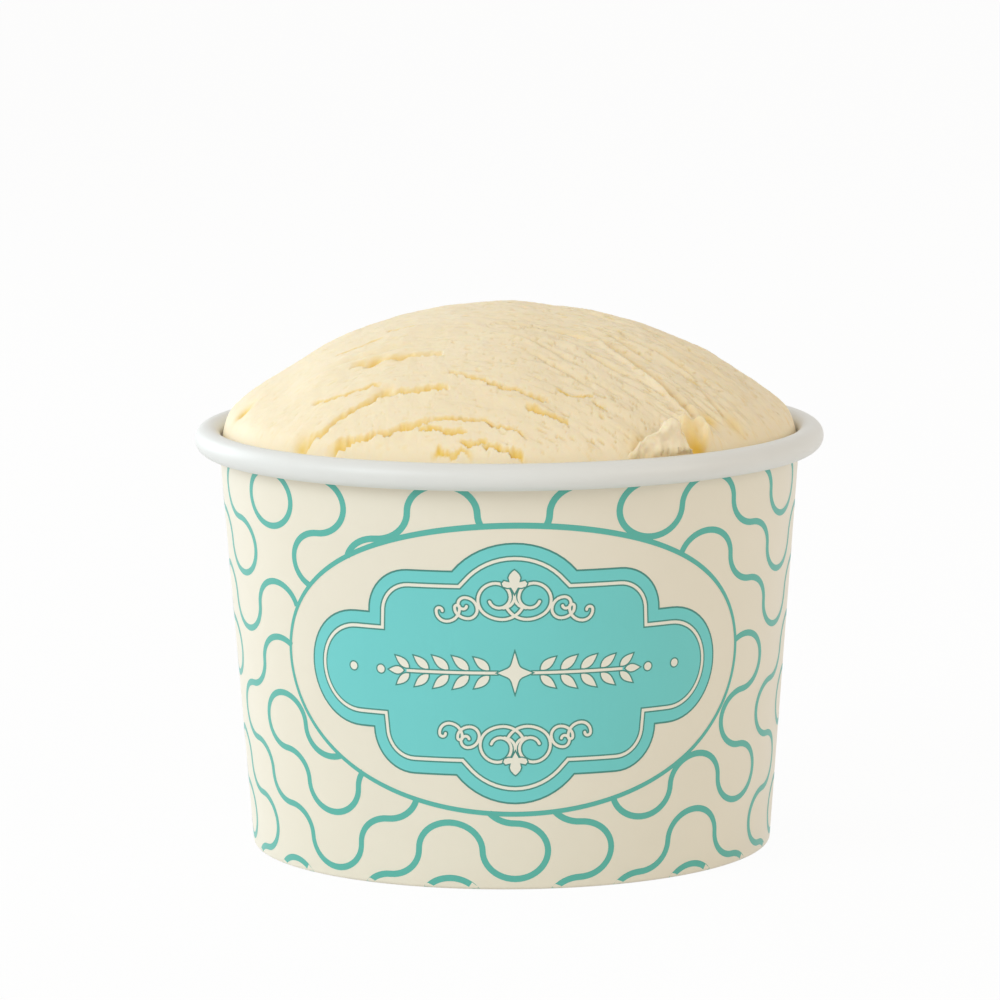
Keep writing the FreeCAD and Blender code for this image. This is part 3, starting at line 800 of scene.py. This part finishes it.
furrow = {
    "ragged": 0.8, "ridge": 0.45, "ridgeBefore": 0.7, "ridgeHalf": 0.6,
    "front": 0.35,         # width of the dip's steep front
    # tint is how strong the painted shade in the dip is
    "tint": 0.35,
}


def furrowShape(across, line, lap, seed):
    # a soft ridge with a dip behind it, with painted shade in the dip
    depth, width = lap[5:7]
    found = alongLap(across, line, lap, seed + 40, furrow["ragged"])
    if not found or abs(found[1]) > 3 * width:
        return 0, 0
    along, behind = found
    fade = math.sin(math.pi * along) ** 0.6
    dipPlace = behind / width * 1.6 if behind > 0 else behind / furrow["front"]
    dip = math.exp(-(dipPlace - 0.6) ** 2)
    ridge = math.exp(-((behind + furrow["ridgeBefore"]) / furrow["ridgeHalf"]) ** 2)
    return depth * fade * (furrow["ridge"] * ridge - dip), furrow["tint"] * fade * dip * depth


def foldRise(across, back, fold):
    x0, y0, x1, y1, tall, half = fold
    length = math.hypot(x1 - x0, y1 - y0)
    run = ((across - x0) * (x1 - x0) + (back - y0) * (y1 - y0)) / length
    if not 0 < run < length:
        return 0
    aside = ((across - x0) * (y1 - y0) - (back - y0) * (x1 - x0)) / length
    aside += 0.5 * noise.noise((run * 0.6, x0, 0))
    return tall * math.sin(math.pi * run / length) ** 0.5 * math.exp(-(aside / half) ** 2)


churn = {
    "tornLumps": 0.9,
    "rightDrop": (1, 7, 0.42),                             # where it starts, over what way, how much
    "leftDrop": (34, 4.5, 0.5),                            # how far left, its reach, how much
    "roughFrom": 12, "roughOver": 26,                      # how the right gets rougher
    "broad": 0.34, "lumps": 0.13, "smallLumps": 0.05, "ridges": 0.42,
    "scratchFrom": 0.16,
    # tornTint and poreTint are how strong the painted shade down in torn spots and pores is
    "tornFrom": 0.3, "torn": 0.8, "tornTint": 1.3,
    "poreFrom": 0.42, "pore": 1.5, "poreTint": 1.9,
    "grain": 0.02, "roughGrain": 0.03,
}


def churned(across, back, line, height, deep):
    # adds the torn and churned texture: broad lumps, drag scratches, torn spots and pores, with painted
    # shade in the torn spots and pores
    rough = min(1, max(0, (across + churn["roughFrom"]) / churn["roughOver"]))
    height += (churn["broad"] * noise.noise((across * 0.13, back * 0.13, 11))
               + churn["lumps"] * noise.noise((across * 0.4, line * 0.5, 14)))
    height += churn["smallLumps"] * noise.noise((across * 0.9, line * 1.2, 17))
    height += churn["ridges"] * rough * noise.noise((across * 0.1, line * 0.5, 8))
    scratch = noise.noise((line * 1.5, across * 0.2, 3)) - churn["scratchFrom"]
    if scratch > 0:
        patchy = max(0.1, 0.5 + noise.noise((across * 0.3, line * 0.35, 6)))
        height -= scratch * (0.2 + 0.8 * rough) * patchy
    torn = noise.noise((line * 2.6, across * 0.55, 21)) - churn["tornFrom"]
    if torn > 0:
        height -= churn["torn"] * torn * (0.3 + 0.7 * rough)
        deep = max(deep, churn["tornTint"] * torn * (0.3 + 0.7 * rough))
    pore = noise.noise((across * 1.5, line * 2.4, 25)) - churn["poreFrom"]
    if pore > 0:
        height -= churn["pore"] * pore * (0.35 + 0.65 * rough)
        deep = max(deep, churn["poreTint"] * pore * (0.35 + 0.65 * rough))
    height += (churn["grain"] + churn["roughGrain"] * rough) * noise.noise((across * 2.4, line * 3.4, 28))
    return height, deep


def relief(across, back):
    # how far the cream stands over the dome, and how deep a yellow of painted shade it has
    line = -back - mound["slope"] * across - mound["swing"] * across ** 2
    height = deep = 0
    for shape, laps in ((crackShape, cracks), (furrowShape, furrows)):
        for seed, lap in enumerate(laps):
            change, dark = shape(across, line, lap, seed)
            height += change
            deep = max(deep, dark)
    for x, y, radius, depth in hollows:
        dip = math.exp(-((across - x) ** 2 + (back - y) ** 2) / radius ** 2)
        height -= depth * dip
        # painted shade down in each hollow
        deep = max(deep, min(1, 1.1 * dip) * min(1, depth))
    for fold in folds:
        height += foldRise(across, back, fold)
    x, y, reach = tornPlace
    near = math.exp(-((across - x) ** 2 + (back - y) ** 2) / reach ** 2)
    height += churn["tornLumps"] * noise.noise((across * 0.7, back * 0.7, 41)) * near
    # the scoop stands a little lower right of the middle and near its left end
    start, way, drop = churn["rightDrop"]
    place, spread, leftDrop = churn["leftDrop"]
    height -= (drop * min(1, max(0, (across - start) / way))
               + leftDrop * math.exp(-((across + place) / spread) ** 2))
    return churned(across, back, line, height, deep)


def toDisc(x, y):
    # a place on a square net, taken to a disc of radius 1 whose net is finer towards the front
    wide = max(abs(x), abs(y))
    if wide < 1e-9:
        return 0.0, -mound["towardsFront"] / 2
    sideways = abs(x) >= abs(y)
    turn = math.pi / 4 * (y / x) if sideways else math.pi / 2 - math.pi / 4 * (x / y)
    sign = 1 if (x if sideways else y) > 0 else -1
    x = math.cos(turn) * wide * sign
    y = math.sin(turn) * wide * sign
    moved = y + mound["towardsFront"] / 2 * (y * y - 1)
    chord = math.sqrt(max(0, 1 - moved * moved) / max(1e-9, 1 - y * y)) if abs(y) < 0.99999 else 1
    return x * chord, moved


def buildIceCream(material):
    clearSelection()
    cells = mound["cells"]
    bpy.ops.mesh.primitive_grid_add(x_subdivisions=cells, y_subdivisions=cells, size=2)
    piece = bpy.context.object
    shadeShares = []
    for vertex in piece.data.vertices:
        x, y = [share * fillRadius for share in toDisc(vertex.co.x, vertex.co.y)]
        radius = math.hypot(x, y)
        change, deep = relief(x, y)
        fade = min(1, max(0, fillRadius - radius) / mound["edgeFade"])
        shadeShares.append(deep * fade)
        vertex.co = (x * mm, y * mm, (moundHeight(radius) + change * fade) * mm)
    settle(piece, "iceCream")
    # the painted shade goes on each point, for the material to read
    attribute = piece.data.attributes.new("paintedShade", "FLOAT", "POINT")
    attribute.data.foreach_set("value", shadeShares)
    # the edge goes on down the wall to the base
    editAll(piece)
    selectOpenEdge()
    seat = tub["recess"] + tub["board"]
    here = fillHeight
    for height in (*mound["wallSteps"], seat):
        bpy.ops.mesh.extrude_region_move(TRANSFORM_OT_translate={"value": (0, 0, (height - here) * mm)})
        change = besideWall(fillOut, height) / besideWall(fillOut, here)
        bpy.ops.transform.resize(value=(change, change, 1), center_override=(0, 0, 0))
        here = height
    bpy.ops.mesh.edge_face_add()
    bpy.ops.mesh.select_all(action="SELECT")
    bpy.ops.mesh.normals_make_consistent(inside=False)
    bpy.ops.object.mode_set(mode="OBJECT")
    piece.data.materials.append(material)
    bpy.ops.object.shade_smooth_by_angle(angle=math.radians(70))
    return piece


# a torn flake stands up by the wall, front right: place of each section, the height of its top
# over the roll's centre, its half thickness and how far its top leans out
flake = {
    "sections": [
        (16.0, -40.4, 0.3, 0.5, 0.0),
        (17.9, -39.6, 2.7, 0.8, 0.2),
        (19.5, -38.7, 4.4, 1.0, 0.4),
        (20.8, -38.1, 5.1, 1.1, 0.5),
        (21.9, -37.5, 5.6, 1.4, 0.7),
        (22.7, -37.1, 7.0, 1.6, 0.9),
        (23.8, -36.6, 7.5, 1.7, 0.9),
        (24.9, -36.1, 7.1, 1.6, 0.7),
        (25.7, -35.8, 5.0, 1.1, 0.3),
        (26.9, -35.4, 2.6, 0.9, 0.0),
        (28.4, -34.8, 0.5, 0.6, 0.0),
    ],
    "depth": 5.0, "root": 1.0,                             # how far its foot goes down into the mound
    "along": 70, "around": 48,
    "hollow": 0.55, "lump": 0.8, "smallLump": 0.34, "ragged": 0.28, "smallRagged": 0.16,
    "clear": 0.15,         # it keeps this far inside the roll
}


def flakePlace(across, girth):
    # a place on the flake: across runs from end to end, girth round each section, both -1 to 1
    sections = flake["sections"]
    share = (across + 1) / 2 * (len(sections) - 1)
    i = min(int(share), len(sections) - 2)
    t = share - i
    ease = t * t * (3 - 2 * t)
    x, y, top, half, leanOut = [a + (b - a) * (t if k < 2 else ease)
                                for k, (a, b) in enumerate(zip(sections[i], sections[i + 1]))]
    way = Vector((sections[i + 1][0] - sections[i][0], sections[i + 1][1] - sections[i][1])).normalized()
    out = Vector((way.y, -way.x))
    foot = min(top, flake["root"]) - flake["depth"]
    turn = math.pi * (girth + 0.5)
    high = math.sin(turn)
    tall = (top - foot) / 2
    level = (top + foot) / 2 + tall * high
    hollow = flake["hollow"] * max(0, 1 - abs(level - 3.5) / 3.5)
    hollow *= math.sin(math.pi * share / (len(sections) - 1))
    side = math.cos(turn) * half * (1 - 0.2 * max(0, high)) + leanOut * max(0, high) ** 2
    side -= hollow * (1 if math.cos(turn) > 0 else 0.3)
    lump = (flake["lump"] * noise.noise((x * 0.5, level * 0.55, 31))
            + flake["smallLump"] * noise.noise((x * 1.3, level * 1.3, 33 + y)))
    place = Vector((x, y)) + out * (side + lump * (0.4 if abs(math.cos(turn)) < 0.3 else 1))
    # below the rim's top it keeps inside the wall
    height = rollCentre.y + level
    inner = besideWall(fillOut, height) if level < 0.5 else rimRadius - 2 * tub["roll"] - flake["clear"]
    if level < tub["roll"] + 0.3 and place.length > inner:
        place = place.normalized() * inner
    rise = (flake["ragged"] * noise.noise((x * 1.1, 7, 35))
            + flake["smallRagged"] * noise.noise((x * 2.7, 3, 36))) * max(0, high)
    return place, level, rise


def buildFlake(material):
    clearSelection()
    bpy.ops.mesh.primitive_grid_add(x_subdivisions=flake["along"], y_subdivisions=flake["around"], size=2)
    piece = bpy.context.object
    shadeShares = []
    for vertex in piece.data.vertices:
        place, level, rise = flakePlace(vertex.co.x, vertex.co.y)
        # painted shade: a deeper yellow low down on the flake, fading as it rises
        shadeShares.append(max(0, min(0.35, 0.4 - 0.12 * level)))
        vertex.co = (place.x * mm, place.y * mm, (rollCentre.y + level + rise) * mm)
    settle(piece, "tornFlake")
    attribute = piece.data.attributes.new("paintedShade", "FLOAT", "POINT")
    attribute.data.foreach_set("value", shadeShares)
    editAll(piece)
    bpy.ops.mesh.remove_doubles(threshold=0.02 * mm)
    selectOpenEdge()
    bpy.ops.mesh.fill()
    bpy.ops.mesh.select_all(action="SELECT")
    bpy.ops.mesh.normals_make_consistent(inside=False)
    bpy.ops.object.mode_set(mode="OBJECT")
    piece.data.materials.append(material)
    bpy.ops.object.shade_smooth_by_angle(angle=math.radians(70))
    return piece


stage = {
    "wide": 6,             # metres
    "whiteness": 0.95,     # the share of plain white in what is seen of the floor
    "room": (1.0, 0.93, 0.83, 1), "roomLight": 0.61,
}


def seenDirectly(tree):
    # 1 where the camera or a reflection sees the background, else 0
    path = addNode(tree, "ShaderNodeLightPath")
    return addNode(tree, "ShaderNodeMath", operation="MAXIMUM",
                   links={0: path.outputs["Is Camera Ray"], 1: path.outputs["Is Glossy Ray"]})


def buildStage():
    clearSelection()
    bpy.ops.mesh.primitive_plane_add(size=stage["wide"], location=(0, 0, 0))
    floor = settle(bpy.context.object, "studioFloor")
    # matt white paper: it shows as plain white, and keeps a soft shadow under the tub
    material, tree = newMaterial("whitePaperSweep")
    diffuse = addNode(tree, "ShaderNodeBsdfDiffuse", {"Color": srgb("#F2F2F2")})
    glow = addNode(tree, "ShaderNodeEmission", {"Color": (1, 1, 1, 1), "Strength": 1.0})
    seen = seenDirectly(tree)
    share = addNode(tree, "ShaderNodeMath", {1: stage["whiteness"]}, {0: seen.outputs[0]},
                    operation="MULTIPLY")
    mix = addNode(tree, "ShaderNodeMixShader",
                  links={0: share.outputs[0], 1: diffuse.outputs[0], 2: glow.outputs[0]})
    finishMaterial(tree, mix.outputs[0])
    floor.data.materials.append(material)

    world = bpy.data.worlds.new("softRoom")
    bpy.context.scene.world = world
    world.use_nodes = True
    tree = world.node_tree
    tree.nodes.clear()
    white = addNode(tree, "ShaderNodeBackground", {"Color": (1, 1, 1, 1), "Strength": 1.0})
    room = addNode(tree, "ShaderNodeBackground", {"Color": stage["room"], "Strength": stage["roomLight"]})
    mix = addNode(tree, "ShaderNodeMixShader",
                  links={0: seenDirectly(tree).outputs[0], 1: room.outputs[0], 2: white.outputs[0]})
    addNode(tree, "ShaderNodeOutputWorld", links={"Surface": mix.outputs[0]})


coolLight = (0.83, 0.93, 1.0)
warmLight = (1.0, 0.92, 0.81)
lampAim = (0, 0, 0.045)
# each lamp's place and size in metres, its watts and its colour
lamps = {
    "keyLeft": ((-0.82, -0.6, 0.58), 0.7, 5.5, coolLight),
    "sheenLeft": ((-0.7, 0.55, 0.3), 0.6, 2.8, coolLight),
    "fillRight": ((0.8, -0.45, 0.35), 0.6, 1.5, warmLight),
}


def addLamp(name, place, size, watts, colour):
    lamp = bpy.data.lights.new(name, "AREA")
    lamp.shape = "DISK"
    lamp.size = size
    lamp.energy = watts
    lamp.color = colour
    holder = bpy.data.objects.new(name, lamp)
    bpy.context.collection.objects.link(holder)
    holder.location = place
    holder.rotation_euler = (Vector(lampAim) - Vector(place)).to_track_quat("-Z", "Y").to_euler()


view = {
    "distance": 955.8, "pitch": 8.37, "roll": 0.39,        # mm and degrees
    "lens": 222.4908, "sensor": 36,
    "aim": (-1.49, 0, 53.03),
}


def buildCamera():
    data = bpy.data.cameras.new("camera")
    camera = bpy.data.objects.new("camera", data)
    bpy.context.collection.objects.link(camera)
    data.sensor_width = view["sensor"]
    data.lens = view["lens"]
    data.clip_start = 0.01
    pitch = math.radians(view["pitch"])
    forward = Vector((0, math.cos(pitch), -math.sin(pitch)))
    camera.location = (Vector(view["aim"]) - forward * view["distance"]) * mm
    turn = forward.to_track_quat("-Z", "Y").to_matrix().to_4x4()
    turn = turn @ Matrix.Rotation(math.radians(-view["roll"]), 4, "Z")
    camera.rotation_euler = turn.to_euler()
    bpy.context.scene.camera = camera


buildCamera()
buildStage()
for name, (place, size, watts, colour) in lamps.items():
    addLamp(name, place, size, watts, colour)
bpy.context.scene.view_settings.view_transform = "Standard"
print("stage, lamps and camera are in")

creamPrint = boardMaterial("creamPrintedBoard", srgb("#ECE5D4"), 0.38)
whiteBoard = boardMaterial("whiteCoatedBoard", srgb("#E3E4E2"), 0.42)
meanderInk = boardMaterial("seaGreenInk", srgb("#57B5A8"), 0.38, grain=0.2)
fieldInk = boardMaterial("turquoiseInk", srgb("#70D0CF"), 0.38, grain=0.2)
edgeInk = boardMaterial("darkTealInk", srgb("#3F8A80"), 0.4, grain=0.2)
paleInk = boardMaterial("ivoryInk", srgb("#EEEBDD"), 0.4, grain=0.2)

wall = buildWall(creamPrint, whiteBoard)
lap = buildLap(creamPrint)
print("wall rolled and lapped")
prints = [buildMeander(meanderInk), buildOval(meanderInk), buildPanel(fieldInk, edgeInk, paleInk),
          buildScrolls(paleInk, edgeInk), buildOrnaments(paleInk, edgeInk)]
print("print laid on the wall")
cream = iceCreamMaterial()
iceCream = buildIceCream(cream)
tornFlake = buildFlake(cream)
print("ice cream scooped,", len(iceCream.data.polygons), "faces")

for piece in [wall, lap] + prints:
    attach(piece, "root")
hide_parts("wall")
for piece in (iceCream, tornFlake):
    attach(piece, "root")
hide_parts("ice_cream")
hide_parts("ice_cream")
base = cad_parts["base"]
base.data.materials.clear()
base.data.materials.append(whiteBoard)
